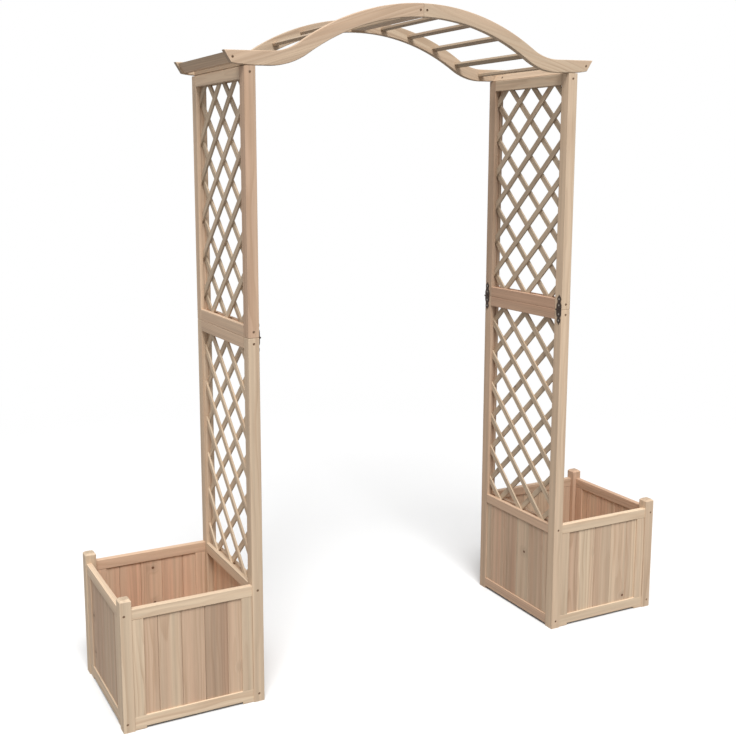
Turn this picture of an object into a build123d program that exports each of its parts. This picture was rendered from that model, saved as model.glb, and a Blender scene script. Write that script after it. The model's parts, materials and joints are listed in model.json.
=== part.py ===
from build123d import *
import math
import os

# Garden arch: two planter boxes, two folding trellis panels and a curved rung roof.
# Millimetres, +Z up, X across the passage, Y from front (-) to rear (+).
# Origin on the ground at the middle of the passage.

# Overall sizes
DEPTH = 420.0  # front face to rear face
PASSAGE = 1090.0  # clear width between the two trellis panels
PLANTER_REACH = 408.0  # trellis panel's outer face to the planter's outer face
LOWER_HEIGHT = 1122.0  # ground to the hinge line
UPPER_HEIGHT = 765.0  # hinge line to the top of the upper panel

# Trellis frames
STOCK = 35.0  # square stock of stiles and corner posts
RAIL = 35.0  # height of the trellis rails
EASE = 2.0  # rounding of long edges
TOP_SLOPE = 5.0  # width of the slope on the upper panel's outer top edge, which clears the roof as it folds
TOP_DROP = 1.0  # fall of that slope

# Planter boxes
RIM = 372.0  # top of the planter rails
POST_HEIGHT = 404.0  # top of the outer corner posts
POST_BEVEL = 6.0  # bevel round a post's top
TOP_RAIL = 33.0  # height of the planter's top rails
BOTTOM_RAIL = 34.0  # height of the planter's bottom rails
GROUND_GAP = 8.0  # ground to the underside of the bottom rails, between their feet
PANEL = 18.0  # thickness of the framed side panels
PANEL_STILE = 35.0  # width of a side panel's stiles
RECESS = 3.0  # set-back of the side panels from the post faces
INNER_RECESS = 4.0  # set-back of the passage-side boards from the stiles

# Tongue-and-groove boards
BOARD = 9.0  # thickness
BOARD_FACE = 72.0  # face width of a whole board
BOARD_GAP = 0.4  # joint between neighbours
V_EDGE = 1.4  # bevel on the long edges
TONGUE = 4.0  # how far a tongue stands out
TONGUE_THICK = 3.0
TONGUE_SLACK = 0.3  # room around a tongue

# Grooves that hold boards and lattice
GROOVE = 6.0  # depth
GROOVE_SLACK = 0.2  # room on each side of what the groove holds
END_GAP = 0.5  # room at a groove's bottom

# Lattice
SLAT = 18.0  # width of a slat
SLAT_THICK = 6.0
PITCH = 120.0  # crossing to crossing, upward
SLAT_LEAN = 45.0  # degrees from level

# Planter floor
BEARER = 20.0  # square bearers along the side panels
FLOOR_BOARD = 12.0  # thickness
FLOOR_COUNT = 4
FLOOR_GAP = 8.0  # drainage gap between floor boards
FLOOR_SLACK = 1.0  # room between the floor and the box

# Fasteners
SCREW_HEAD = 8.0
SCREW_SHANK = 4.0
SCREW_LENGTH = 60.0
SCREW_SINK = 1.0  # depth of the heads below the wood
SCREW_SLACK = 0.1  # room around a screw or a dowel
BEARER_SCREW = 34.0
DOWEL = 8.0
WOOD_LEFT = 3.0  # wood between fasteners that cross inside a post

# Hinges
LEAF_WIDTH = 23.0
LEAF_LENGTH = 50.0  # hinge line to the leaf's point
LEAF_THICK = 2.0
LEAF_INSET = 1.0  # from the edge of the stile
LEAF_HOLES = (15.0, 36.0)  # screw holes from the hinge line, each in a round lobe
LOBE_WIDTHS = (22.0, 18.0)
LEAF_WAIST = 13.0  # width between the lobes
LEAF_POINT = 10.0  # length of the pointed end
BARREL = 2.8  # outer radius of the knuckles
PIN = 1.2  # radius of the hinge pin
PIN_SLACK = 0.08
BARREL_GAP = 0.3  # between a knuckle and the wood, the other leaf or the next knuckle
MIDDLE_KNUCKLE = 9.0  # length of the upper leaf's knuckle
HINGE_SCREW_HEAD = 6.0
HINGE_SCREW_SHANK = 3.0

# Roof
SEAT_GAP = 0.9  # roof to the top of the upper panels, cleared as they fold
BEAM = 18.0  # thickness of a beam
BEAM_DEPTH = 40.0  # depth of a beam, square to its curve
BEAM_RISE = 150.0  # from the beam's flat end to the crown
FLAT_START = 500.0  # from the crown, across, to where the beam runs flat
HOLLOW_RADIUS = 215.0  # underside of the hollow curve beside the flat end
FLAT_LENGTH = 55.0  # flat seat of the beam
TIP_LENGTH = 61.0  # across, from the seat to the lower corner of the tip
TIP_RADIUS = 350.0  # underside of the tip, which curves up from the seat under a straight top
TIP_RAKE = 22.0  # how far the tip's upper corner overhangs the lower one
RUNGS = 5  # on each half of the roof
RUNG_SHIFT = 8.0  # how far the rungs stand towards the crown from an even division
RUNG_WIDTH = 20.0
RUNG_THICK = 10.0
MORTISE = 8.0  # depth of the rung ends in the beams
CROWN_WIDTH = 50.0
CROWN_HEIGHT = 30.0
CROWN_SCREW = 11.0  # crown screws, to each side of the joint
END_BOARD = 15.0  # thickness of the boards between the tips
END_HEIGHT = 28.0
END_LIFT = 2.0  # their lower edge above the lower corner of the tip
END_INSET = 6.0  # from the raked end of the beam
CLEAT_WIDTH = 30.0
CLEAT_HEIGHT = 20.0
CLEAT_SLOPE = 12.0  # how far the passage face leans back at the top
CLEAT_SCREW = 150.0  # slanting cleat screws, to each side of the middle
TOE_SINK = 2.0  # depth of their heads along the slant
TOE_LEFT = 1.0  # wood under their tips
ROOF_SCREW = 50.0

# Places worked out from the sizes, for the left stand
HALF = DEPTH / 2
X_IN = -PASSAGE / 2
X_OUT = X_IN - STOCK
X_MID = X_IN - STOCK / 2
X_END = X_OUT - PLANTER_REACH
X_POST = X_END + STOCK
Y_IN = HALF - STOCK
TOP = LOWER_HEIGHT + UPPER_HEIGHT
BOARD_FOOT = GROUND_GAP + BOTTOM_RAIL
BOARD_HEAD = RIM - TOP_RAIL
PANEL_FACE = HALF - RECESS
PANEL_MID = PANEL_FACE - PANEL / 2
PANEL_BACK = PANEL_FACE - PANEL
SCREW_ROOM = STOCK / 2 - SCREW_SHANK / 2 - WOOD_LEFT
HINGE_SCREW = (SCREW_ROOM + LEAF_THICK, HINGE_SCREW_HEAD, HINGE_SCREW_SHANK, 0)
HINGE_AXIS = BARREL + BARREL_GAP
SIDES = (("left", 0, ("front", "rear")), ("right", 180, ("rear", "front")))


def bar(x, y, z, along=None):
    """Rectangular bar between two corners; along names the axis of the edges to round."""
    ranges = [sorted(pair) for pair in (x, y, z)]
    size = [hi - lo for lo, hi in ranges]
    centre = [(hi + lo) / 2 for lo, hi in ranges]
    solid = Pos(*centre) * Box(*size)
    if along is None:
        return solid
    return fillet(solid.edges().filter_by(along), EASE)


def spindle(point, direction, outline):
    """Solid turned from an outline of (radius, depth) points, set at a point along a direction."""
    face = make_face(Polyline(*outline, close=True))
    solid = revolve(Plane.XZ * face, Axis.Z)
    return Plane(origin=point, z_dir=direction) * solid


def screw(point, direction, length, head=SCREW_HEAD, shank=SCREW_SHANK, sink=SCREW_SINK):
    """Countersunk screw driven at a point of a surface, its head below that surface by sink."""
    head_r = head / 2
    shank_r = shank / 2
    neck = sink + head_r - shank_r
    tip = length - shank
    outline = [(0, sink), (head_r, sink), (shank_r, neck), (shank_r, tip), (0, length)]
    return spindle(point, direction, outline)


def screw_hole(point, direction, length, head=SCREW_HEAD, shank=SCREW_SHANK, sink=SCREW_SINK):
    """Countersunk hole that takes the screw of the same sizes."""
    head_r = head / 2 + SCREW_SLACK
    shank_r = shank / 2 + SCREW_SLACK
    neck = sink + head_r - shank_r
    tip = length - shank
    deep = length + SCREW_SLACK
    outline = [(0, -head), (head_r, -head), (head_r, sink), (shank_r, neck), (shank_r, tip), (0, deep)]
    return spindle(point, direction, outline)


def less(solid, cutters):
    """The solid with every cutter taken away."""
    for cutter in cutters:
        solid = solid - cutter
    return solid


def board_row(half, z):
    """Tongue-and-groove boards side by side along X, whole ones in the middle, cut ones at the ends."""
    count = max(math.ceil(2 * half / BOARD_FACE), 2)
    end_width = half - (count - 2) * BOARD_FACE / 2
    inner_seams = [-half + end_width + k * BOARD_FACE for k in range(count - 1)]
    seams = [-half] + inner_seams + [half]
    row = []
    for k in range(count):
        left = seams[k] + (BOARD_GAP / 2 if k else 0)
        right = seams[k + 1] - (BOARD_GAP / 2 if k < count - 1 else 0)
        board = bar((left, right), (-BOARD / 2, BOARD / 2), z)
        board = chamfer(board.edges().filter_by(Axis.Z), V_EDGE)
        if k < count - 1:
            board = board + bar((right - TONGUE, right + TONGUE), (-TONGUE_THICK / 2, TONGUE_THICK / 2), z)
        if k:
            slot = TONGUE_THICK / 2 + TONGUE_SLACK
            board = board - bar((left, left + TONGUE + TONGUE_SLACK), (-slot, slot), z)
        row.append(board)
    return row


def framed_panel(width):
    """Side panel of a planter along X: its frame and its boards.

    The frame is a top rail, a bottom rail cut away between two feet, and two stiles between the rails.
    """
    half = width / 2
    opening = half - PANEL_STILE
    thick = (-PANEL / 2, PANEL / 2)
    relief = bar((-opening, opening), (-PANEL, PANEL), (-GROUND_GAP, GROUND_GAP))
    members = [
        bar((-half, half), thick, (BOARD_HEAD, RIM), Axis.X),
        bar((-half, half), thick, (0, BOARD_FOOT), Axis.X) - relief,
        bar((-half, -opening), thick, (BOARD_FOOT, BOARD_HEAD), Axis.Z),
        bar((opening, half), thick, (BOARD_FOOT, BOARD_HEAD), Axis.Z),
    ]
    room = BOARD / 2 + GROOVE_SLACK
    reach = opening + GROOVE
    groove = bar((-reach, reach), (-room, room), (BOARD_FOOT - GROOVE, BOARD_HEAD + GROOVE))
    frame = [member - groove for member in members]
    seat = GROOVE - END_GAP
    boards = board_row(opening + seat, (BOARD_FOOT - seat, BOARD_HEAD + seat))
    return frame, boards


def lattice_groove(low, high):
    """Groove all round a trellis opening, between two heights."""
    room = SLAT_THICK + GROOVE_SLACK
    reach = Y_IN + GROOVE
    return bar((X_MID - room, X_MID + room), (-reach, reach), (low - GROOVE, high + GROOVE))


def lattice(low, high, lean):
    """Two crossed layers of slats in a trellis opening; lean turns the outer layer."""
    seat = GROOVE - END_GAP
    reach_y = Y_IN + seat
    reach_z = (high - low) / 2 + seat
    middle = (low + high) / 2
    length = 2 * math.hypot(reach_y, reach_z)
    rows = math.floor((reach_y + reach_z - SLAT) / PITCH)
    slats = []
    for x_start, turn in ((X_MID - SLAT_THICK, lean), (X_MID, -lean)):
        layer = (x_start, x_start + SLAT_THICK)
        window = bar(layer, (-reach_y, reach_y), (middle - reach_z, middle + reach_z))
        for k in range(-rows, rows + 1):
            slat = bar(layer, (-length / 2, length / 2), (-SLAT / 2, SLAT / 2))
            slats.append(Pos(0, 0, middle + k * PITCH) * Rot(turn, 0, 0) * slat & window)
    return slats


def hinge_leaf(point_up, knuckles):
    """Leaf of a strap hinge on the passage face, with knuckles over the given stretches of Y."""
    start = HINGE_AXIS
    neck = LEAF_LENGTH - LEAF_POINT
    plate = Pos(0, (start + LEAF_HOLES[0]) / 2) * Rectangle(LEAF_WIDTH, LEAF_HOLES[0] - start)
    for height, width in zip(LEAF_HOLES, LOBE_WIDTHS):
        plate += Pos(0, height) * Circle(width / 2)
    plate += Pos(0, (start + neck) / 2) * Rectangle(LEAF_WAIST, neck - start)
    waist = LEAF_WAIST / 2
    plate += make_face(Polyline((-waist, neck), (waist, neck), (0, LEAF_LENGTH), close=True))
    for low, high in knuckles:
        plate += Pos((low + high) / 2, start / 2) * Rectangle(high - low, start)
    leaf = extrude(Plane.YZ * plate, LEAF_THICK)
    for low, high in knuckles:
        leaf += Pos(HINGE_AXIS, (low + high) / 2, 0) * Rot(90, 0, 0) * Cylinder(BARREL, high - low)
    leaf -= Pos(HINGE_AXIS, 0, 0) * Rot(90, 0, 0) * Cylinder(PIN + PIN_SLACK, LEAF_WIDTH)
    for height in LEAF_HOLES:
        leaf -= screw_hole((LEAF_THICK, 0, height), (-1, 0, 0), *HINGE_SCREW)
    return leaf if point_up else mirror(leaf, Plane.XY)


def hinge_set(y):
    """One hinge at a place along Y on the left stand: its leaves, pin, screws and pilot holes."""
    edge = MIDDLE_KNUCKLE / 2
    half = LEAF_WIDTH / 2
    place = Pos(X_IN, y, LOWER_HEIGHT)
    upper_leaf = place * hinge_leaf(True, [(-edge, edge)])
    lower_leaf = place * hinge_leaf(False, [(-half, -edge - BARREL_GAP), (edge + BARREL_GAP, half)])
    pin = place * Pos(HINGE_AXIS, 0, 0) * Rot(90, 0, 0) * Cylinder(PIN, LEAF_WIDTH)
    made = {"upper_leaf": upper_leaf, "lower_leaf": lower_leaf, "pin": pin}
    for name, sign in (("upper", 1), ("lower", -1)):
        points = [(X_IN + LEAF_THICK, y, LOWER_HEIGHT + sign * height) for height in LEAF_HOLES]
        made[name + "_screws"] = [screw(point, (-1, 0, 0), *HINGE_SCREW) for point in points]
        made[name + "_holes"] = [screw_hole(point, (-1, 0, 0), *HINGE_SCREW) for point in points]
    return made


def end_screws(x, z):
    """Screws through the front and rear stiles into a rail's ends, with their holes, front first."""
    pairs = []
    for sign in (-1, 1):
        place = ((x, sign * HALF, z), (0, -sign, 0), SCREW_LENGTH)
        pairs.append((screw(*place), screw_hole(*place)))
    return pairs


def dowel(x, y, z, slack=0.0):
    """Dowel along X across a joint face, or its hole when slack is given."""
    length = 2 * (SCREW_ROOM + slack)
    return Pos(x, y, z) * Rot(0, 90, 0) * Cylinder(DOWEL / 2 + slack, length)


def trellis(names, low, high, rails, hinge_holes):
    """Stiles and rails of a trellis panel with their screws.

    names are the two stiles' names, rails are (name, bottom, top), hinge_holes one list per stile.
    """
    pieces = {}
    screws = []
    stile_cuts = [list(holes) for holes in hinge_holes]
    for name, bottom, top in rails:
        rail = bar((X_OUT, X_IN), (-Y_IN, Y_IN), (bottom, top), Axis.Y)
        pairs = end_screws(X_MID, (bottom + top) / 2)
        pieces[name] = less(rail, [hole for _, hole in pairs])
        for cuts, (fastener, hole) in zip(stile_cuts, pairs):
            cuts.append(hole)
            screws.append(fastener)
    for name, sign, cuts in zip(names, (-1, 1), stile_cuts):
        stile = bar((X_OUT, X_IN), (sign * Y_IN, sign * HALF), (low, high), Axis.Z)
        pieces[name] = less(stile, cuts)
    return pieces, screws


def lower_panel(ends, hinges):
    """Lower trellis panel of the left stand, which is also the planter's inner side."""
    stiles = [f"lower_{end}_stile" for end in ends]
    rails = [
        ("lower_top_rail", LOWER_HEIGHT - RAIL, LOWER_HEIGHT),
        ("inner_top_rail", BOARD_HEAD, RIM),
        ("inner_bottom_rail", GROUND_GAP, BOARD_FOOT),
    ]
    pieces, screws = trellis(stiles, 0, LOWER_HEIGHT, rails, [hinge["lower_holes"] for hinge in hinges])
    opening = (RIM, LOWER_HEIGHT - RAIL)
    room = BOARD / 2 + GROOVE_SLACK
    reach = Y_IN + GROOVE
    groove_z = (BOARD_FOOT - GROOVE, BOARD_HEAD + GROOVE)
    board_x = X_IN - INNER_RECESS - BOARD / 2
    board_groove = bar((board_x - room, board_x + room), (-reach, reach), groove_z)
    cuts = [lattice_groove(*opening), board_groove]
    pieces = {name: less(solid, cuts) for name, solid in pieces.items()}
    seat = GROOVE - END_GAP
    row = board_row(Y_IN + seat, (BOARD_FOOT - seat, BOARD_HEAD + seat))
    boards = [Pos(board_x, 0, 0) * Rot(0, 0, 90) * board for board in row]
    rails_low = [pieces.pop("inner_top_rail"), pieces.pop("inner_bottom_rail")]
    for hinge in hinges:
        screws += hinge["lower_screws"]
    return pieces, rails_low, boards, lattice(*opening, SLAT_LEAN), screws


def upper_panel(ends, hinges):
    """Upper trellis panel of the left stand, which folds down into the passage."""
    stiles = [f"upper_{end}_stile" for end in ends]
    rails = [
        ("upper_top_rail", TOP - RAIL, TOP),
        ("upper_bottom_rail", LOWER_HEIGHT, LOWER_HEIGHT + RAIL),
    ]
    hinge_holes = [hinge["upper_holes"] for hinge in hinges]
    pieces, screws = trellis(stiles, LOWER_HEIGHT, TOP, rails, hinge_holes)
    opening = (LOWER_HEIGHT + RAIL, TOP - RAIL)
    corner = Polyline((X_OUT, TOP), (X_OUT + TOP_SLOPE, TOP), (X_OUT, TOP - TOP_DROP), close=True)
    slope = extrude(Plane.XZ * make_face(corner), HALF, both=True)
    cuts = [lattice_groove(*opening), slope]
    pieces = {name: less(solid, cuts) for name, solid in pieces.items()}
    for hinge in hinges:
        screws += hinge["upper_screws"]
    return pieces, lattice(*opening, -SLAT_LEAN), screws


def planter_box(ends, stiles):
    """Outer three sides and floor of the left planter; stiles are the trellis stiles it is dowelled to."""
    outer_x = X_END + RECESS + PANEL / 2
    side_mid = (X_POST + X_OUT) / 2
    rail_z = BOARD_HEAD + TOP_RAIL / 2
    foot_z = GROUND_GAP + BOTTOM_RAIL / 2
    side_frame, side_boards = framed_panel(X_OUT - X_POST)
    outer_frame, outer_boards = framed_panel(2 * Y_IN)
    outer_frame = [Pos(outer_x, 0, 0) * Rot(0, 0, 90) * piece for piece in outer_frame]
    boards = [Pos(outer_x, 0, 0) * Rot(0, 0, 90) * piece for piece in outer_boards]
    pieces = {}
    screws = []
    dowels = []
    bearers = []
    post_screws = [end_screws(outer_x, z) for z in (rail_z, foot_z)]
    outer_holes = [hole for pairs in post_screws for _, hole in pairs]
    bearer_x = (X_POST + FLOOR_SLACK, X_OUT - FLOOR_SLACK)
    bearer_top = GROUND_GAP + BEARER
    for index, sign in enumerate((-1, 1)):
        end = ends[index]
        y = sign * PANEL_MID
        joints = [(x, y, z) for x in (X_POST, X_OUT) for z in (rail_z, foot_z)]
        dowels += [dowel(*joint) for joint in joints]
        dowel_holes = [dowel(*joint, SCREW_SLACK) for joint in joints]
        holes = [pairs[index][1] for pairs in post_screws]
        screws += [pairs[index][0] for pairs in post_screws]
        post = bar((X_END, X_POST), (sign * Y_IN, sign * HALF), (0, POST_HEIGHT))
        post = chamfer(post.faces().sort_by(Axis.Z)[-1].edges(), POST_BEVEL)
        post = fillet(post.edges().filter_by(Axis.Z), EASE)
        pieces[f"planter_{end}_post"] = less(post, holes + dowel_holes)
        stiles[index] = less(stiles[index], dowel_holes)
        bearer = bar(bearer_x, (sign * PANEL_BACK, sign * (PANEL_BACK - BEARER)), (GROUND_GAP, bearer_top))
        quarter = (bearer_x[1] - bearer_x[0]) / 4
        rail_cuts = list(dowel_holes)
        for x in (bearer_x[0] + quarter, bearer_x[1] - quarter):
            start = (x, sign * (PANEL_BACK - BEARER), GROUND_GAP + BEARER / 2)
            screws.append(screw(start, (0, sign, 0), BEARER_SCREW))
            rail_cuts.append(screw_hole(start, (0, sign, 0), BEARER_SCREW))
        bearers.append(less(bearer, rail_cuts))
        place = Pos(side_mid, y, 0)
        pieces[f"planter_{end}_frame"] = [less(place * piece, rail_cuts) for piece in side_frame]
        boards += [place * piece for piece in side_boards]
    floor_x = X_END + RECESS + PANEL + FLOOR_SLACK
    width = (bearer_x[1] - floor_x - (FLOOR_COUNT - 1) * FLOOR_GAP) / FLOOR_COUNT
    floor_y = PANEL_BACK - FLOOR_SLACK
    floor_z = (bearer_top, bearer_top + FLOOR_BOARD)
    notch_y = Y_IN - FLOOR_SLACK
    notches = [bar((X_END, bearer_x[0]), (sign * notch_y, sign * HALF), floor_z) for sign in (-1, 1)]
    floor = []
    for k in range(FLOOR_COUNT):
        start = floor_x + k * (width + FLOOR_GAP)
        floor.append(less(bar((start, start + width), (-floor_y, floor_y), floor_z), notches))
    pieces["planter_outer_frame"] = [less(piece, outer_holes) for piece in outer_frame]
    pieces["planter_boards"] = boards
    pieces["planter_floor_bearers"] = bearers
    pieces["planter_floor_boards"] = floor
    return pieces, screws, dowels


def stand(ends):
    """Every piece of the left stand and its folding panel, by name, with its dowels apart."""
    hinge_y = HALF - LEAF_INSET - LEAF_WIDTH / 2
    hinges = [hinge_set(sign * hinge_y) for sign in (-1, 1)]
    pieces, rails_low, inner_boards, low_slats, screws = lower_panel(ends, hinges)
    names = [f"lower_{end}_stile" for end in ends]
    stiles = [pieces[name] for name in names]
    box, box_screws, dowels = planter_box(ends, stiles)
    pieces.update(zip(names, stiles))
    pieces.update(box)
    pieces["planter_inner_rails"] = rails_low
    pieces["planter_inner_boards"] = inner_boards
    pieces["lower_lattice"] = low_slats
    pieces["stand_screws"] = screws + box_screws
    pieces["hinge_lower_leaves"] = [hinge["lower_leaf"] for hinge in hinges]
    pieces["hinge_pins"] = [hinge["pin"] for hinge in hinges]
    upper, high_slats, upper_screws = upper_panel(ends, hinges)
    pieces.update(upper)
    pieces["upper_lattice"] = high_slats
    pieces["upper_screws"] = upper_screws
    pieces["hinge_upper_leaves"] = [hinge["upper_leaf"] for hinge in hinges]
    return pieces, dowels


# The roof's curve: a crown arc meets a hollow arc, which runs out into a flat seat and a rising tip.
FLAT_Z = TOP + SEAT_GAP
RADII = (FLAT_START ** 2 + BEAM_RISE ** 2) / (2 * BEAM_RISE)
CROWN_RADIUS = RADII - HOLLOW_RADIUS
TURN = math.asin(FLAT_START / RADII)
CROWN_Z = FLAT_Z + BEAM_RISE
CROWN_CENTRE = (0, CROWN_Z - CROWN_RADIUS)
HOLLOW_CENTRE = (FLAT_START, FLAT_Z + HOLLOW_RADIUS)
INNER = HALF - BEAM
TIP_START = FLAT_START + FLAT_LENGTH
TIP_CENTRE = (TIP_START, FLAT_Z + TIP_RADIUS)
TIP_TURN = math.asin(TIP_LENGTH / TIP_RADIUS)
TIP_LOW = (TIP_START + TIP_LENGTH, TIP_CENTRE[1] - TIP_RADIUS * math.cos(TIP_TURN))
TIP_HIGH = (TIP_LOW[0] + TIP_RAKE, FLAT_Z + BEAM_DEPTH)


def beam():
    """Right half of the front beam, from the crown to the raked tip."""
    turn = math.degrees(TURN)
    upper_crown = CROWN_RADIUS + BEAM_DEPTH
    upper_hollow = HOLLOW_RADIUS - BEAM_DEPTH
    outline = [
        CenterArc(CROWN_CENTRE, CROWN_RADIUS, 90, -turn),
        CenterArc(HOLLOW_CENTRE, HOLLOW_RADIUS, 270 - turn, turn),
        Line((FLAT_START, FLAT_Z), (TIP_START, FLAT_Z)),
        CenterArc(TIP_CENTRE, TIP_RADIUS, 270, math.degrees(TIP_TURN)),
        Line(TIP_LOW, TIP_HIGH),
        Line(TIP_HIGH, (FLAT_START, TIP_HIGH[1])),
        CenterArc(HOLLOW_CENTRE, upper_hollow, 270, -turn),
        CenterArc(CROWN_CENTRE, upper_crown, 90 - turn, turn),
        Line((0, CROWN_Z + BEAM_DEPTH), (0, CROWN_Z)),
    ]
    solid = extrude(Plane.XZ.offset(INNER) * make_face(outline), BEAM)
    sides = solid.faces().sort_by(Axis.Y)
    edges = sides[0].edges() + sides[-1].edges()
    spans = [edge @ 1 - edge @ 0 for edge in edges]
    lengthwise = [edge for edge, span in zip(edges, spans) if abs(span.X) > abs(span.Z)]
    return fillet(lengthwise, EASE)


def rung_place(travel):
    """Point and tilt on the beam's middle line, at a distance along it from the crown."""
    middle_crown = CROWN_RADIUS + BEAM_DEPTH / 2
    middle_hollow = HOLLOW_RADIUS - BEAM_DEPTH / 2
    if travel < middle_crown * TURN:
        angle = travel / middle_crown
        x = middle_crown * math.sin(angle)
        z = CROWN_CENTRE[1] + middle_crown * math.cos(angle)
    else:
        angle = TURN - (travel - middle_crown * TURN) / middle_hollow
        x = FLAT_START - middle_hollow * math.sin(angle)
        z = HOLLOW_CENTRE[1] - middle_hollow * math.cos(angle)
    return x, z, math.degrees(angle)


def cross_piece(x, z, tilt, width, height, slack=0.0):
    """Bar along Y between the beams, let into both by the mortise depth."""
    length = 2 * (INNER + MORTISE)
    size = (-width / 2 - slack, width / 2 + slack), (-height / 2 - slack, height / 2 + slack)
    blank = bar(size[0], (-length / 2 - slack, length / 2 + slack), size[1], None if slack else Axis.Y)
    return Pos(x, 0, z) * Rot(0, tilt, 0) * blank


def end_board():
    """Raked board between the right tips of the beams, and the middle of its section."""
    lean = TIP_RAKE / (TIP_HIGH[1] - TIP_LOW[1])
    low = (TIP_LOW[0] - END_INSET + END_LIFT * lean, TIP_LOW[1] + END_LIFT)
    high = (low[0] + END_HEIGHT * lean, low[1] + END_HEIGHT)
    section = [low, high, (high[0] - END_BOARD, high[1]), (low[0] - END_BOARD, low[1])]
    board = extrude(Plane.XZ * make_face(Polyline(*section, close=True)), INNER, both=True)
    return board, ((low[0] + high[0] - END_BOARD) / 2, (low[1] + high[1]) / 2)


def seat_cleat(sign, place, size):
    """Cleat over one upper panel, its passage face leaning back between the beams; sign is 1 on the left."""
    face = place[0] + sign * CLEAT_WIDTH / 2
    back = face - sign * CLEAT_SLOPE
    top = FLAT_Z + CLEAT_HEIGHT
    wedge = make_face(Polyline((face, FLAT_Z), (face, top), (back, top), close=True))
    return cross_piece(*place, *size) - extrude(Plane.XZ * wedge, INNER, both=True)


def roof():
    """Every piece of the roof, by name."""
    middle = (CROWN_RADIUS + HOLLOW_RADIUS) * TURN
    places = []
    for k in range(1, RUNGS + 1):
        x, z, tilt = rung_place(middle * k / RUNGS - RUNG_SHIFT)
        places += [(x, z, tilt), (-x, z, -tilt)]
    rungs = [cross_piece(*place, RUNG_WIDTH, RUNG_THICK) for place in places]
    mortises = [cross_piece(*place, RUNG_WIDTH, RUNG_THICK, SCREW_SLACK) for place in places]
    cleat_size = (CLEAT_WIDTH, CLEAT_HEIGHT)
    seats = [(sign * X_MID, FLAT_Z + CLEAT_HEIGHT / 2, 0) for sign in (1, -1)]
    cleats = [seat_cleat(sign, place, cleat_size) for sign, place in zip((1, -1), seats)]
    mortises += [cross_piece(*place, *cleat_size, SCREW_SLACK) for place in seats]
    crown = (-CROWN_WIDTH / 2, CROWN_WIDTH / 2)
    crown_z = CROWN_Z + BEAM_DEPTH / 2
    block = bar(crown, (-INNER, INNER), (crown_z - CROWN_HEIGHT / 2, crown_z + CROWN_HEIGHT / 2), Axis.Y)
    end_right, end_middle = end_board()
    end_boards = [mirror(end_right, Plane.YZ), end_right]
    points = [(CROWN_SCREW, crown_z), end_middle]
    screws = []
    holes = []
    for x, z in points + [(-x, z) for x, z in points]:
        for sign in (-1, 1):
            place = ((x, sign * HALF, z), (0, -sign, 0), ROOF_SCREW)
            screws.append(screw(*place))
            holes.append(screw_hole(*place))
    toe = CLEAT_HEIGHT / 2 * math.sqrt(2) - TOE_LEFT
    for index, sign in enumerate((1, -1)):
        face = sign * (X_MID + (CLEAT_WIDTH - CLEAT_SLOPE) / 2)
        for y in (-CLEAT_SCREW, CLEAT_SCREW):
            place = ((face, y, FLAT_Z + CLEAT_HEIGHT / 2), (-sign, 0, -1), toe)
            screws.append(screw(*place, sink=TOE_SINK))
            cleats[index] = cleats[index] - screw_hole(*place, sink=TOE_SINK)
    right_front = beam()
    left_front = mirror(right_front, Plane.YZ)
    half_turn = Rot(0, 0, 180)
    beams = {
        "front_beam_left": left_front,
        "front_beam_right": right_front,
        "rear_beam_left": half_turn * right_front,
        "rear_beam_right": half_turn * left_front,
    }
    pieces = {name: less(solid, mortises + holes) for name, solid in beams.items()}
    pieces["roof_rungs"] = rungs
    pieces["crown_block"] = less(block, holes)
    pieces["roof_end_boards"] = [less(piece, holes) for piece in end_boards]
    pieces["left_seat_cleat"] = cleats[0]
    pieces["right_seat_cleat"] = cleats[1]
    pieces["roof_screws"] = screws
    return pieces


def solids_of(piece):
    """The separate solids of one node, which is a shape or a list of shapes."""
    shapes = piece if isinstance(piece, list) else [piece]
    return [solid for shape in shapes for solid in shape.solids()]


def main():
    """Write every node of the arch as a STEP file."""
    nodes = {}
    all_dowels = []
    for side, turn, ends in SIDES:
        pieces, dowels = stand(ends)
        about = Rot(0, 0, turn)
        for name, piece in pieces.items():
            nodes[f"{side}_{name}"] = [about * solid for solid in solids_of(piece)]
        all_dowels += [about * solid for solid in solids_of(dowels)]
    nodes["planter_dowels"] = all_dowels
    for name, piece in roof().items():
        nodes[name] = solids_of(piece)
    os.makedirs("parts", exist_ok=True)
    for name, solids in nodes.items():
        shape = solids[0] if len(solids) == 1 else Compound(solids)
        export_step(shape, f"parts/{name}.step")


main()
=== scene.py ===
import json
import math
import random

import bmesh
import bpy
import numpy as np
from mathutils import Matrix, Vector


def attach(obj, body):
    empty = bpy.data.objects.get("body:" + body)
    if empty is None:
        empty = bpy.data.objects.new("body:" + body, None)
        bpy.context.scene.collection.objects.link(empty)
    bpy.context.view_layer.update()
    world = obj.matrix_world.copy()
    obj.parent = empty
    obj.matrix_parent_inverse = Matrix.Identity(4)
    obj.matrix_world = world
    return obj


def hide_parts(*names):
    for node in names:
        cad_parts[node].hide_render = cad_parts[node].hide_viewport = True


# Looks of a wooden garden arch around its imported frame. Metres, +Z up, front is -Y.
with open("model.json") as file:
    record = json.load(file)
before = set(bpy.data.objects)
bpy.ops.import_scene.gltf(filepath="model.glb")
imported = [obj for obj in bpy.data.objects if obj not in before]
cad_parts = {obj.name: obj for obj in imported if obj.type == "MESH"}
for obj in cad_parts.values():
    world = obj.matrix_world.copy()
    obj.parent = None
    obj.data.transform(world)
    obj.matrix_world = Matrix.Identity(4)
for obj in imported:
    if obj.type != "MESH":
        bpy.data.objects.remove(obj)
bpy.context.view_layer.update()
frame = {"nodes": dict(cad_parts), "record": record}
RECORD = frame["record"]
SLOTS = {part["node"]: part["material_slot"] for part in RECORD["subparts"]}
BODIES = {node: body for body, nodes in RECORD["behaviour"]["bodies"].items() for node in nodes}

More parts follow.
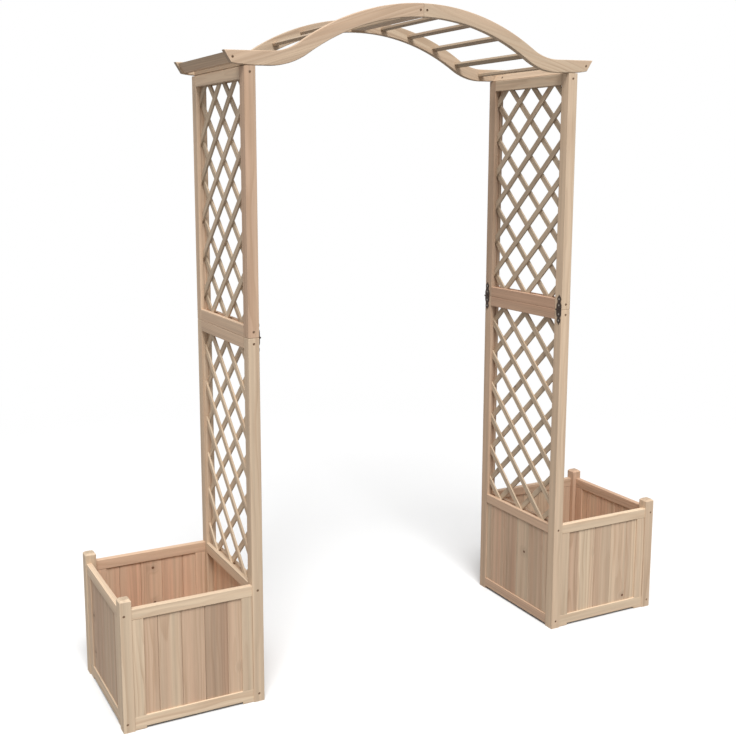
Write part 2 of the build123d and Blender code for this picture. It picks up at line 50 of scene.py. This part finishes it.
# Camera, with its focal length and centre in pixels of the photograph
PHOTO_SIZE = 736
FOCAL_PIXELS = 1030.4
CENTRE_PIXEL = (268.0, 318.0)
CAMERA_PLACE = Vector((-1.710, -2.890, 1.645))
CAMERA_YAW = math.radians(23.99)
CAMERA_PITCH = math.radians(-9.05)
CAMERA_ROLL = math.radians(-0.76)
SENSOR = 36.0

# Light
KEY_FROM = Vector((-0.2, -0.5, 0.84))  # direction to the lamp
KEY_TARGET = Vector((0, 0, 1))
KEY_DISTANCE = 18.0
KEY_SIZE = 8.0
KEY_LEVEL = 1.1  # how bright a white surface turned to the lamp looks
SKY_STRENGTH = 0.55  # as light; the camera sees it white
FLOOR_SEEN = 0.85  # how pale the floor is to the camera
FLOOR_BOUNCE = 0.22  # how pale it is to the light that it sends back
FLOOR_SIZE = 40.0
FLOOR_FADE = (1.6, 4.0)  # distances from the middle over which it turns white

# Shapes
WELD = 1e-5  # points that are the same to this step become one
AT_JOINT = 10 * WELD  # how near a joint's plane a point has to be to lie on it
FLAT = math.radians(0.5)  # faces that meet at a smaller angle become one
SHARP = math.radians(30)
SOFT_EDGE = 0.0006  # rounding of sawn edges
JOINT_EDGE = 0.0018  # rounding of ends that meet at the fold and at the crown
FOLD_HEIGHT = RECORD["behaviour"]["joints"][0]["pos_m"][2]
LEAF_EDGE = 0.0003  # rounding of hinge leaves

# Wood
FIR_LIGHT = (0.657, 0.515, 0.368, 1)  # sapwood
FIR_DARK = (0.430, 0.270, 0.165, 1)  # late growth
FIR_PINK = (0.600, 0.375, 0.255, 1)  # heartwood
KNOT = (0.150, 0.070, 0.038, 1)
END_GRAIN = 0.8  # least share of the grain's direction in the normal of a face across it
TRUNK = 9.0  # length over which pieces are cut from the trunk
RING = 0.0055  # spacing of the growth rings
RING_STRAY = 0.020  # how far rings stray from round
RING_BEND = 0.006  # how far they bend around a knot
PITH_REACH = (0.03, 0.11)  # how far the middle of the trunk lies from a piece's own middle
FLAT_SAWN = 0.4  # how far that direction may lean from a piece's thin side, in radians
BRANCHES = (6.0, 0.45)  # branches for each metre of the trunk and for each radian around it
KNOT_EDGE = (0.0060, 0.0030)  # distances from a branch's middle over which its dark knot fades in
KNOT_HALO = (0.0300, 0.0050)  # the same for the darker wood around a knot
# Noise scales along the grain and across it
STRAY_SCALE = (2.2, 16.0, 16.0)
BAND_SCALE = (0.6, 26.0, 26.0)
STREAK_SCALE = (1.2, 75.0, 75.0)
FIBRE_SCALE = (16.0, 800.0, 800.0)
# Late growth: where in a ring it darkens and ends, and how strong it is as the rings stray
LATE_RISE = (0.30, 0.90)
LATE_END = (1.0, 0.92)
LATE_STRENGTH = (0.35, 0.70, 0.12, 0.46)
# Heartwood in bands of the noise, their share, and the share that a piece's own tone has
HEART_BAND = (0.36, 0.66)
HEART_BAND_SHARE = 0.55
HEART_TONE_SHARE = 0.75
# Lightness: a step of a piece's tone and painted light, streaks, fibres, end grain and halos. Four values
# are two levels of the noise and what they become.
TONE_AND_PAINTED_LIGHT_STEP = 0.06
STREAK_LEVELS = (0.25, 0.75, 0.87, 1.10)
FIBRE_LEVELS = (0.2, 0.8, 0.95, 1.04)
END_DARKER = 0.22
HALO_DARKER = 0.14
# Surface
WOOD_ROUGHNESS = (0.2, 0.8, 0.60, 0.78)
WOOD_SPECULAR = 0.3
LATE_HEIGHT = 0.4  # of a fibre's height
BUMP_STRENGTH = 0.35
BUMP_HEIGHT = 0.0004

# Metal
BRONZE = (0.050, 0.035, 0.028, 1)
BRONZE_WORN = (0.16, 0.12, 0.09, 1)
SCREW = (0.26, 0.17, 0.11, 1)
SCREW_WORN = (0.38, 0.30, 0.23, 1)
STEEL = (0.34, 0.31, 0.27, 1)  # hinge screws
BLOTCH_SCALE = (120.0, 120.0, 120.0)
WORN_BLOTCH = (0.52, 0.75)
METAL_ROUGHNESS = (0.3, 0.7, 0.40, 0.62)
METALLIC = 0.85

# Kinds of fir, as (lightness, heartwood, share of branches that show as knots)
WOODS = {
    "fir_frame": (1.02, 0.25, 0.05),
    "fir_boards": (0.97, 0.70, 0.35),
    "fir_lattice": (0.93, 0.06, 0.15),
    "fir_roof": (1.00, 0.35, 0.06),
    "dowel_wood": (0.95, 0.40, 0.00),
}
# Pieces that stand out, by node and order, as (lightness, heartwood); some of this lightness is painted
# shade and painted light
TONES_AND_PAINTED_LIGHT = {
    ("front_beam_left", 0): (-1.0, 0.25),
    ("front_beam_right", 0): (-1.0, 0.12),
    ("rear_beam_left", 0): (-2.2, 0.10),
    ("rear_beam_right", 0): (-1.8, 0.10),
    ("left_seat_cleat", 0): (-2.5, 0.00),
    ("right_seat_cleat", 0): (0.5, 0.30),
    ("left_upper_front_stile", 0): (-1.3, 0.70),
    ("left_lower_front_stile", 0): (0.2, 0.15),
    ("left_upper_bottom_rail", 0): (0.2, 0.50),
    ("left_lower_top_rail", 0): (0.2, 0.50),
    ("right_upper_bottom_rail", 0): (-1.2, 1.10),
    ("right_lower_top_rail", 0): (-1.2, 1.10),
    # Darker partly for the stile's own tone and partly as painted shade.
    ("right_upper_rear_stile", 0): (-3.8, 0.65),
    ("right_lower_rear_stile", 0): (-1.5, 0.60),
    ("right_planter_rear_post", 0): (-0.3, 0.80),
    ("left_planter_front_post", 0): (0.8, 0.05),
    ("left_planter_front_frame", 1): (1.8, 0.00),
    ("left_planter_front_frame", 2): (2.2, 0.00),
    ("right_planter_front_frame", 1): (2.0, 0.00),
    ("right_planter_front_frame", 2): (2.5, 0.00),
    ("left_planter_boards", 6): (1.5, 0.64),
    ("left_planter_boards", 8): (1.3, 0.85),
    ("left_planter_boards", 10): (1.0, 0.77),
    ("left_planter_boards", 12): (1.6, 0.68),
    ("left_planter_boards", 14): (1.2, 0.77),
    ("left_planter_boards", 5): (0.2, 0.26),
    ("left_planter_boards", 7): (0.6, 0.13),
    ("left_planter_boards", 9): (-0.3, 0.64),
    ("left_planter_boards", 11): (-3.5, 0.72),
    ("left_planter_boards", 13): (0.3, 0.21),
    ("right_planter_boards", 0): (-0.4, 0.75),
    ("right_planter_boards", 2): (2.0, 0.00),
    ("right_planter_boards", 4): (-0.6, 0.20),
    ("right_planter_boards", 6): (1.8, 0.00),
    ("right_planter_boards", 8): (1.2, 0.10),
    ("right_planter_inner_boards", 0): (-0.6, 0.20),
    ("right_planter_inner_boards", 1): (0.6, 0.25),
    ("right_planter_inner_boards", 2): (-1.2, 0.55),
    ("right_planter_inner_boards", 3): (0.6, 0.25),
    ("right_planter_inner_boards", 4): (-1.2, 0.75),
    ("right_planter_inner_boards", 5): (0.6, 0.75),
}
# Rows of pieces that share a tone; for the rungs it is painted shade, for the left planter's inner boards
# painted light
ALIKE = {
    # The rungs are darkened as painted shade, for their undersides seen from below.
    ("roof_rungs", range(10)): (-4.8, 0.05),
    ("left_planter_boards", range(5)): (-2.2, 0.40),
    # The left planter's inner boards are lightened as painted light inside the box.
    ("left_planter_inner_boards", range(6)): (4.0, 0.45),
    ("right_planter_boards", range(10, 15)): (2.8, 0.75),
    ("left_planter_rear_frame", range(4)): (0.5, 0.70),
    ("right_planter_rear_frame", range(4)): (-1.5, 0.60),
    ("right_planter_inner_rails", range(2)): (-0.5, 0.70),
    ("right_planter_outer_frame", range(4)): (-0.5, 1.00),
}
for (row_node, row_order), row_tone_and_painted_light in ALIKE.items():
    TONES_AND_PAINTED_LIGHT.update({(row_node, k): row_tone_and_painted_light for k in row_order})
# Lattices that are lighter or darker as a whole
LATTICE_TONES = {
    "left_upper_lattice": -1.2,
    "left_lower_lattice": 1.0,
    "right_upper_lattice": -2.0,
    "right_lower_lattice": -1.2,
}


# Solids of the frame


def node_solids(node):
    """The closed solids of a CAD node, each as (points, triangles) with its points welded."""
    mesh = frame["nodes"][node].data
    mesh.calc_loop_triangles()
    points = np.empty(len(mesh.vertices) * 3, np.float32)
    mesh.vertices.foreach_get("co", points)
    triangles = np.empty(len(mesh.loop_triangles) * 3, np.int32)
    mesh.loop_triangles.foreach_get("vertices", triangles)
    keys = np.round(points.reshape(-1, 3).astype(float) / WELD).astype(np.int64)
    places, welded = np.unique(keys, axis=0, return_inverse=True)
    corners = welded.reshape(-1)[triangles.reshape(-1, 3)]
    first, second, third = corners.T
    corners = corners[(first != second) & (second != third) & (third != first)]
    owner = list(range(len(corners)))

    def root(k):
        while owner[k] != k:
            owner[k] = owner[owner[k]]
            k = owner[k]
        return k

    by_edge = {}
    for k, (a, b, c) in enumerate(corners.tolist()):
        for edge in ((a, b), (b, c), (c, a)):
            by_edge.setdefault((min(edge), max(edge)), []).append(k)
    for faces in by_edge.values():
        if len(faces) == 2:
            owner[root(faces[0])] = root(faces[1])
    groups = {}
    for k in range(len(corners)):
        groups.setdefault(root(k), []).append(k)
    solids = []
    for faces in groups.values():
        used, local = np.unique(corners[faces], return_inverse=True)
        solids.append((places[used] * WELD, local.reshape(-1, 3)))
    return solids


def ordered_solids(node):
    """The solids of a CAD node in the order of their places."""
    return sorted(node_solids(node), key=lambda solid: tuple(np.round(solid[0].mean(0), 3)))


AXES = (Vector((1, 0, 0)), Vector((0, 1, 0)), Vector((0, 0, 1)))
SLANTS = (Vector((0, 1, 1)).normalized(), Vector((0, 1, -1)).normalized())


def reach(points, direction):
    """How far points extend along a direction."""
    along = points @ np.array(direction)
    return along.max() - along.min()


def main_axis(points):
    """Longest direction of a curved or tilted solid."""
    _, _, rows = np.linalg.svd(points - points.mean(0), full_matrices=False)
    return Vector(rows[0])


def grain_axis(node, points):
    """Direction in which the wood of a solid grew."""
    if "beam" in node:
        return main_axis(points)
    choices = SLANTS if "lattice" in node else AXES
    return max(choices, key=lambda direction: reach(points, direction))


def grain_frame(axis):
    """The grain's direction and two directions across it, as rows."""
    side = axis.cross(Vector((0, 1, 0)) if abs(axis.y) < 0.6 else Vector((1, 0, 0))).normalized()
    return np.array([axis, side, axis.cross(side)])


def trunk_places(node, points, draw):
    """Grain's direction in a solid, and each point's place in the trunk: along it, out and sideways."""
    axis = grain_axis(node, points)
    rows = grain_frame(axis)
    middle = (points.max(0) + points.min(0)) / 2
    thin = 0.0 if reach(points, rows[1]) < reach(points, rows[2]) else math.pi / 2
    turn = thin + draw.choice((0.0, math.pi)) + draw.uniform(-FLAT_SAWN, FLAT_SAWN)
    out = rows[1] * math.cos(turn) + rows[2] * math.sin(turn)
    rows = np.array([axis, out, np.cross(axis, out)])
    places = (points - middle) @ rows.T + (draw.uniform(0, TRUNK), draw.uniform(*PITH_REACH), 0)
    return axis, places


def solid_tone_and_painted_light(node, index, draw):
    """Lightness and heartwood of a solid: those of its row in TONES_AND_PAINTED_LIGHT, or drawn ones. Some
    rows' lightness is painted light and shade.
    """
    lightness = draw.uniform(-1, 1) + LATTICE_TONES.get(node, 0.0)
    heartwood = draw.random() * WOODS[SLOTS[node]][1]
    return Vector((*TONES_AND_PAINTED_LIGHT.get((node, index), (lightness, heartwood)), 0))


def wooden(node, material):
    """Piece that shows a wooden CAD node, with the run of the grain and a tone for each solid; some tones
    carry painted light and shade.
    """
    shape = bmesh.new()
    grain_layer = shape.verts.layers.float_vector.new("grain")
    tone_and_painted_light_layer = shape.verts.layers.float_vector.new("tone_and_painted_light")
    end_layer = shape.faces.layers.float.new("end_grain")
    for index, (points, triangles) in enumerate(ordered_solids(node)):
        draw = random.Random(f"{node} {index}")
        axis, places = trunk_places(node, points, draw)
        tone_and_painted_light = solid_tone_and_painted_light(node, index, draw)
        verts = [shape.verts.new(point) for point in points]
        for vert, place in zip(verts, places):
            vert[grain_layer] = place
            vert[tone_and_painted_light_layer] = tone_and_painted_light
        for triangle in triangles:
            face = shape.faces.new([verts[k] for k in triangle])
            face.normal_update()
            face[end_layer] = 1.0 if abs(face.normal.dot(axis)) > END_GRAIN else 0.0
    joint = joint_plane(node)
    sawn = node.endswith(("lattice", "boards"))
    if joint or sawn:
        merge_flat(shape)
    if joint:
        mark_joint(shape, *joint)
    piece = add_piece(f"{node}_wood", shape, node, material)
    if joint:
        soften(piece, JOINT_EDGE, "WEIGHT")
    elif sawn:
        soften(piece, SOFT_EDGE)
    else:
        normals = piece.modifiers.new("flat faces", "WEIGHTED_NORMAL")
        normals.keep_sharp = True


def joint_plane(node):
    """Plane, as (axis, place), where a stile ends at the fold or a beam at the crown."""
    if node.endswith("stile"):
        return 2, FOLD_HEIGHT
    return (0, 0.0) if "beam" in node else None


def mark_joint(shape, axis, place):
    """Gives weight to the edges around a piece's end at a plane across an axis."""
    weight = shape.edges.layers.float.new("bevel_weight_edge")
    for edge in shape.edges:
        at_plane = all(abs(vert.co[axis] - place) < AT_JOINT for vert in edge.verts)
        edge[weight] = 1.0 if at_plane and edge.calc_face_angle(0.0) > SHARP else 0.0


def merge_flat(shape):
    """Joins the triangles of each flat face."""
    bmesh.ops.dissolve_limit(
        shape, angle_limit=FLAT, verts=shape.verts, edges=shape.edges, delimit={"NORMAL"}
    )


def soften(piece, width, limit="ANGLE"):
    """Rounds a piece's sharp edges, or those with weight."""
    bevel = piece.modifiers.new("soft edges", "BEVEL")
    bevel.width = width
    bevel.segments = 2
    bevel.limit_method = limit
    bevel.angle_limit = SHARP
    bevel.harden_normals = True


def add_piece(name, shape, node, material):
    """Turns a bmesh into a piece that stands for a CAD node and moves with its body."""
    mesh = bpy.data.meshes.new(name)
    shape.to_mesh(mesh)
    shape.free()
    mesh.shade_smooth()
    mesh.set_sharp_from_angle(angle=SHARP)
    mesh.materials.append(material)
    piece = bpy.data.objects.new(name, mesh)
    bpy.context.scene.collection.objects.link(piece)
    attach(piece, BODIES[node])
    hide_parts(node)
    return piece


# Fasteners

SCREW_LINES = AXES + (Vector((1, 0, 1)).normalized(), Vector((1, 0, -1)).normalized())
RIM_SIDES = 24
SHANK_SHARE = (0.2, 0.8)  # of the head's radius, between which the shank's radius lies
RIM_BEVEL = 0.06  # of the head's radius
ARM_WIDTH = 0.17  # half the width of a recess arm, of the head's radius
ARM_REACH = 0.62
RECESS_DEPTH = 0.55
RECESS_TAPER = 0.45
POINT_LENGTH = 2.0  # of the shank's radius
SMALL_HEAD = 0.0035  # heads of a smaller radius hold the hinges and are bright


def ring(shape, centre, rows, radius, depth):
    """Circle of points about an axis; rows are the axis and two directions across it."""
    verts = []
    for k in range(RIM_SIDES):
        angle = 2 * math.pi * k / RIM_SIDES
        outward = rows[1] * math.cos(angle) + rows[2] * math.sin(angle)
        verts.append(shape.verts.new(centre + rows[0] * depth + radius * outward))
    return verts


def join_loops(shape, first, second):
    """Band of four-sided faces between two loops of as many points."""
    for k in range(len(first)):
        after = (k + 1) % len(first)
        shape.faces.new((first[k], first[after], second[after], second[k]))


def add_screw(shape, points, turn):
    """Countersunk screw in the place of a plain CAD screw. Gives its head's radius."""
    axis = np.array(max(SCREW_LINES, key=lambda line: abs(main_axis(points).dot(line))))
    along = (points - points.mean(0)) @ axis
    from_axis = points - points.mean(0) - np.outer(along, axis)
    radii = np.linalg.norm(from_axis, axis=1)
    head = radii.max()
    shank = np.median(radii[(radii > SHANK_SHARE[0] * head) & (radii < SHANK_SHARE[1] * head)])
    if along[radii.argmax()] > 0:
        axis = -axis
        along = -along
    length = along.max() - along.min()
    start = points.mean(0) + axis * along.min()
    across = grain_frame(Vector(axis))
    side = across[1] * math.cos(turn) + across[2] * math.sin(turn)
    rows = np.array([axis, side, np.cross(axis, side)])
    face = ring(shape, start, rows, head * (1 - RIM_BEVEL), 0)
    rim = ring(shape, start, rows, head, head * RIM_BEVEL)
    neck = ring(shape, start, rows, shank, head - shank)
    tail = ring(shape, start, rows, shank, length - POINT_LENGTH * shank)
    for first, second in ((face, rim), (rim, neck), (neck, tail)):
        join_loops(shape, first, second)
    tip = shape.verts.new(start + axis * length)
    for k in range(RIM_SIDES):
        shape.faces.new((tail[k], tail[(k + 1) % RIM_SIDES], tip))
    cut_recess(shape, face, start, rows, head)
    return head


def cut_recess(shape, face, start, rows, head):
    """Cross recess in a screw's head, and the flat face between it and the loop of points at the rim."""
    corners = []
    for c, s in ((1, 0), (0, 1), (-1, 0), (0, -1)):
        for u, v in ((ARM_REACH, -ARM_WIDTH), (ARM_REACH, ARM_WIDTH), (ARM_WIDTH, ARM_WIDTH)):
            corners.append((u * c - v * s) * rows[1] + (u * s + v * c) * rows[2])
    deep = start + rows[0] * head * RECESS_DEPTH
    cross = [shape.verts.new(start + head * corner) for corner in corners]
    floor = [shape.verts.new(deep + RECESS_TAPER * head * corner) for corner in corners]
    join_loops(shape, cross, floor)
    shape.faces.new(floor)
    step = RIM_SIDES // 4
    for quarter in range(4):
        first, second, inner = cross[3 * quarter:3 * quarter + 3]
        onward = cross[(3 * quarter + 3) % len(cross)]
        edge = [face[(step * quarter + k) % RIM_SIDES] for k in range(-1, step)]
        shape.faces.new([first] + edge[:3] + [second])
        shape.faces.new([second] + edge[2:5] + [inner])
        shape.faces.new([inner] + edge[4:7] + [onward])


def screws(node, material):
    """Piece that shows every screw of a CAD node."""
    shape = bmesh.new()
    bright_layer = shape.verts.layers.float.new("bright")
    for index, (points, _) in enumerate(ordered_solids(node)):
        count = len(shape.verts)
        head = add_screw(shape, points, random.Random(f"{node} {index}").uniform(0, math.pi / 2))
        shape.verts.ensure_lookup_table()
        for vert in shape.verts[count:]:
            vert[bright_layer] = 1.0 if head < SMALL_HEAD else 0.0
    bmesh.ops.recalc_face_normals(shape, faces=shape.faces)
    add_piece(f"{node}_steel", shape, node, material)


def leaves(node, material):
    """Piece that shows hinge leaves with softened edges."""
    shape = bmesh.new()
    for points, triangles in node_solids(node):
        verts = [shape.verts.new(point) for point in points]
        for triangle in triangles:
            shape.faces.new([verts[k] for k in triangle])
    merge_flat(shape)
    piece = add_piece(f"{node}_bronze", shape, node, material)
    soften(piece, LEAF_EDGE)


# Materials


class Graph:
    """Short way to add and join the nodes of a material or a world."""

    def __init__(self, owner):
        self.owner = owner
        owner.use_nodes = True
        self.tree = owner.node_tree
        self.tree.nodes.clear()

    def add(self, kind, **settings):
        node = self.tree.nodes.new(kind)
        for key, value in settings.items():
            setattr(node, key, value)
        return node

    def put(self, socket, source):
        if isinstance(source, bpy.types.NodeSocket):
            self.tree.links.new(source, socket)
        else:
            socket.default_value = source

    def math(self, operation, *values, clamp=False):
        node = self.add("ShaderNodeMath", operation=operation, use_clamp=clamp)
        for socket, value in zip(node.inputs, values):
            self.put(socket, value)
        return node.outputs[0]

    def vector(self, operation, *values, output=0):
        node = self.add("ShaderNodeVectorMath", operation=operation)
        for socket, value in zip(node.inputs, values):
            self.put(socket, value)
        return node.outputs[output]

    def attribute(self, name, output):
        return self.add("ShaderNodeAttribute", attribute_name=name).outputs[output]

    def parts(self, vector):
        node = self.add("ShaderNodeSeparateXYZ")
        self.put(node.inputs[0], vector)
        return node.outputs

    def join(self, x, y, z):
        node = self.add("ShaderNodeCombineXYZ")
        for socket, source in zip(node.inputs, (x, y, z)):
            self.put(socket, source)
        return node.outputs[0]

    def noise(self, vector, detail=2.0, roughness=0.5):
        node = self.add("ShaderNodeTexNoise")
        self.put(node.inputs["Vector"], vector)
        node.inputs["Scale"].default_value = 1.0
        node.inputs["Detail"].default_value = detail
        node.inputs["Roughness"].default_value = roughness
        return node.outputs["Fac"]

    def span(self, value, low, high, to_low=0.0, to_high=1.0):
        node = self.add("ShaderNodeMapRange", interpolation_type="SMOOTHSTEP")
        ends = {"From Min": low, "From Max": high, "To Min": to_low, "To Max": to_high}
        self.put(node.inputs["Value"], value)
        for key, end in ends.items():
            self.put(node.inputs[key], end)
        return node.outputs[0]

    def mix(self, share, a, b, blend="MIX"):
        node = self.add("ShaderNodeMix", data_type="RGBA", blend_type=blend)
        for socket, source in ((node.inputs[0], share), (node.inputs[6], a), (node.inputs[7], b)):
            self.put(socket, source)
        return node.outputs[2]

    def seen(self):
        """1 to the camera, straight or by reflection or refraction, and 0 to other light."""
        ray = self.add("ShaderNodeLightPath").outputs
        reached = self.math("MAXIMUM", ray["Is Camera Ray"], ray["Is Glossy Ray"])
        return self.math("MAXIMUM", reached, ray["Is Transmission Ray"])

    def finish(self, shader, kind="ShaderNodeOutputMaterial"):
        output = self.add(kind)
        self.put(output.inputs["Surface"], shader)
        return self.owner


def knots(graph, grain, radius, share):
    """Dark knots, and halos around them, where a piece cuts a share of the trunk's branches."""
    along, out, sideways = graph.parts(grain)
    around = graph.math("ARCTAN2", sideways, out)
    lengthwise = graph.math("MULTIPLY", along, BRANCHES[0])
    spot = graph.join(lengthwise, graph.math("MULTIPLY", around, BRANCHES[1]), 0.0)
    branch = graph.add("ShaderNodeTexVoronoi", voronoi_dimensions="2D")
    graph.put(branch.inputs["Vector"], spot)
    branch.inputs["Scale"].default_value = 1.0
    from_branch = graph.vector("SUBTRACT", spot, branch.outputs["Position"])
    stretch = graph.join(1 / BRANCHES[0], graph.math("DIVIDE", radius, BRANCHES[1]), 0.0)
    distance = graph.vector("LENGTH", graph.vector("MULTIPLY", from_branch, stretch), output=1)
    chosen = graph.math("LESS_THAN", graph.parts(branch.outputs["Color"])[0], share)
    knot = graph.math("MULTIPLY", graph.span(distance, *KNOT_EDGE), chosen)
    halo = graph.math("MULTIPLY", graph.span(distance, *KNOT_HALO), chosen)
    return knot, halo


def darker(graph, bright, share, amount):
    """Lightness lessened by an amount where a share is 1."""
    return graph.math("MULTIPLY", bright, graph.math("MULTIPLY_ADD", share, -amount, 1.0))


def fir(name):
    """Bare planed fir: growth rings about the trunk's middle, streaks, fibres, knots, darker end grain."""
    shade, heartwood, knotty = WOODS[name]
    graph = Graph(bpy.data.materials.new(name))
    grain = graph.attribute("grain", "Vector")
    tone_and_painted_light = graph.parts(graph.attribute("tone_and_painted_light", "Vector"))
    stray = graph.noise(graph.vector("MULTIPLY", grain, STRAY_SCALE))
    band = graph.noise(graph.vector("MULTIPLY", grain, BAND_SCALE), detail=1.0)
    streak = graph.noise(graph.vector("MULTIPLY", grain, STREAK_SCALE), detail=3.0)
    fibre = graph.noise(graph.vector("MULTIPLY", grain, FIBRE_SCALE))

    radius = graph.vector("LENGTH", graph.vector("MULTIPLY", grain, (0.0, 1.0, 1.0)), output=1)
    knot, halo = knots(graph, grain, radius, knotty)
    radius = graph.math("MULTIPLY_ADD", stray, RING_STRAY, radius)
    radius = graph.math("MULTIPLY_ADD", halo, RING_BEND, radius)
    ring_place = graph.math("FRACT", graph.math("DIVIDE", radius, RING))
    late = graph.math("MULTIPLY", graph.span(ring_place, *LATE_RISE), graph.span(ring_place, *LATE_END))

    heart = graph.math("MULTIPLY", graph.span(band, *HEART_BAND), HEART_BAND_SHARE * heartwood)
    heart = graph.math("MULTIPLY_ADD", tone_and_painted_light[1], HEART_TONE_SHARE, heart, clamp=True)
    colour = graph.mix(heart, FIR_LIGHT, FIR_PINK)
    late_share = graph.math("MULTIPLY", late, graph.span(stray, *LATE_STRENGTH))
    colour = graph.mix(late_share, colour, FIR_DARK)
    # Lightness from each piece's tone, which for some pieces is painted light and shade
    bright = graph.math("MULTIPLY_ADD", tone_and_painted_light[0], TONE_AND_PAINTED_LIGHT_STEP, shade)
    bright = graph.math("MULTIPLY", bright, graph.span(streak, *STREAK_LEVELS))
    bright = graph.math("MULTIPLY", bright, graph.span(fibre, *FIBRE_LEVELS))
    bright = darker(graph, bright, graph.attribute("end_grain", "Fac"), END_DARKER)
    bright = darker(graph, bright, halo, HALO_DARKER)
    colour = graph.mix(1.0, colour, graph.join(bright, bright, bright), "MULTIPLY")
    colour = graph.mix(knot, colour, KNOT)

    bump = graph.add("ShaderNodeBump")
    bump.inputs["Strength"].default_value = BUMP_STRENGTH
    bump.inputs["Distance"].default_value = BUMP_HEIGHT
    graph.put(bump.inputs["Height"], graph.math("MULTIPLY_ADD", late, LATE_HEIGHT, fibre))
    shader = graph.add("ShaderNodeBsdfPrincipled")
    graph.put(shader.inputs["Base Color"], colour)
    graph.put(shader.inputs["Roughness"], graph.span(fibre, *WOOD_ROUGHNESS))
    graph.put(shader.inputs["Normal"], bump.outputs[0])
    shader.inputs["Specular IOR Level"].default_value = WOOD_SPECULAR
    return graph.finish(shader.outputs[0])


def metal(name, colour, worn):
    """Coated metal with faint blotches and rubbed spots, and bare steel where a piece is marked bright."""
    graph = Graph(bpy.data.materials.new(name))
    place = graph.add("ShaderNodeTexCoord").outputs["Object"]
    blotch = graph.noise(graph.vector("MULTIPLY", place, BLOTCH_SCALE), detail=4.0, roughness=0.6)
    shader = graph.add("ShaderNodeBsdfPrincipled")
    coat = graph.mix(graph.span(blotch, *WORN_BLOTCH), colour, worn)
    graph.put(shader.inputs["Base Color"], graph.mix(graph.attribute("bright", "Fac"), coat, STEEL))
    graph.put(shader.inputs["Roughness"], graph.span(blotch, *METAL_ROUGHNESS))
    shader.inputs["Metallic"].default_value = METALLIC
    return graph.finish(shader.outputs[0])


def plain_floor():
    """Pale floor, brighter to the camera than to the object, that fades into the white around it."""
    graph = Graph(bpy.data.materials.new("floor"))
    seen = graph.seen()
    diffuse = graph.add("ShaderNodeBsdfDiffuse")
    level = graph.math("MULTIPLY_ADD", seen, FLOOR_SEEN - FLOOR_BOUNCE, FLOOR_BOUNCE)
    graph.put(diffuse.inputs["Color"], level)
    white = graph.add("ShaderNodeEmission")
    place = graph.add("ShaderNodeNewGeometry").outputs["Position"]
    far = graph.span(graph.vector("LENGTH", place, output=1), *FLOOR_FADE)
    blend = graph.add("ShaderNodeMixShader")
    graph.put(blend.inputs[0], graph.math("MULTIPLY", far, seen))
    graph.put(blend.inputs[1], diffuse.outputs[0])
    graph.put(blend.inputs[2], white.outputs[0])
    return graph.finish(blend.outputs[0])


# Stage


def add_floor():
    """Ground around the arch."""
    shape = bmesh.new()
    bmesh.ops.create_grid(shape, x_segments=1, y_segments=1, size=FLOOR_SIZE / 2)
    mesh = bpy.data.meshes.new("floor")
    shape.to_mesh(mesh)
    shape.free()
    mesh.materials.append(plain_floor())
    floor = bpy.data.objects.new("floor", mesh)
    bpy.context.scene.collection.objects.link(floor)


def add_world():
    """Even sky that is white where the camera sees it and dimmer as light."""
    graph = Graph(bpy.data.worlds.new("studio"))
    strength = graph.add("ShaderNodeMapRange")
    graph.put(strength.inputs["Value"], graph.seen())
    strength.inputs["To Min"].default_value = SKY_STRENGTH
    sky = graph.add("ShaderNodeBackground")
    sky.inputs["Color"].default_value = (1, 1, 1, 1)
    graph.put(sky.inputs["Strength"], strength.outputs[0])
    bpy.context.scene.world = graph.finish(sky.outputs[0], "ShaderNodeOutputWorld")


def add_key_light():
    """Large soft lamp above the arch, in front and a little to the left."""
    light = bpy.data.lights.new("key", "AREA")
    light.size = KEY_SIZE
    light.energy = KEY_LEVEL * (math.pi * KEY_DISTANCE) ** 2
    lamp = bpy.data.objects.new("key", light)
    towards = KEY_FROM.normalized()
    lamp.location = KEY_TARGET + towards * KEY_DISTANCE
    lamp.rotation_euler = towards.to_track_quat("Z", "Y").to_euler()
    bpy.context.scene.collection.objects.link(lamp)


def add_camera():
    """Camera at the photograph's place, with its frame shifted as far as the photograph's is."""
    forward = Vector((
        math.sin(CAMERA_YAW) * math.cos(CAMERA_PITCH),
        math.cos(CAMERA_YAW) * math.cos(CAMERA_PITCH),
        math.sin(CAMERA_PITCH),
    ))
    level = Vector((math.cos(CAMERA_YAW), -math.sin(CAMERA_YAW), 0))
    above = level.cross(forward)
    right = math.cos(CAMERA_ROLL) * level + math.sin(CAMERA_ROLL) * above
    up = -math.sin(CAMERA_ROLL) * level + math.cos(CAMERA_ROLL) * above
    data = bpy.data.cameras.new("camera")
    data.sensor_width = SENSOR
    data.lens = FOCAL_PIXELS / PHOTO_SIZE * SENSOR
    data.shift_x = (PHOTO_SIZE / 2 - CENTRE_PIXEL[0]) / PHOTO_SIZE
    data.shift_y = (CENTRE_PIXEL[1] - PHOTO_SIZE / 2) / PHOTO_SIZE
    camera = bpy.data.objects.new("camera", data)
    turn = Matrix((right, up, -forward)).transposed()
    camera.matrix_world = Matrix.Translation(CAMERA_PLACE) @ turn.to_4x4()
    bpy.context.scene.collection.objects.link(camera)
    bpy.context.scene.camera = camera


# Dressing

MATERIALS = {wood: fir(wood) for wood in WOODS}
MATERIALS["hinge_bronze"] = metal("hinge_bronze", BRONZE, BRONZE_WORN)
MATERIALS["screw_steel"] = metal("screw_steel", SCREW, SCREW_WORN)


def dress():
    """Gives every CAD node its looks."""
    for node, slot in SLOTS.items():
        material = MATERIALS[slot]
        if slot == "screw_steel":
            screws(node, material)
        elif node.endswith("leaves"):
            leaves(node, material)
        elif slot == "hinge_bronze":
            mesh = frame["nodes"][node].data
            mesh.materials.clear()
            mesh.materials.append(material)
        else:
            wooden(node, material)


dress()
add_floor()
add_world()
add_key_light()
add_camera()
bpy.context.scene.view_settings.view_transform = "Standard"
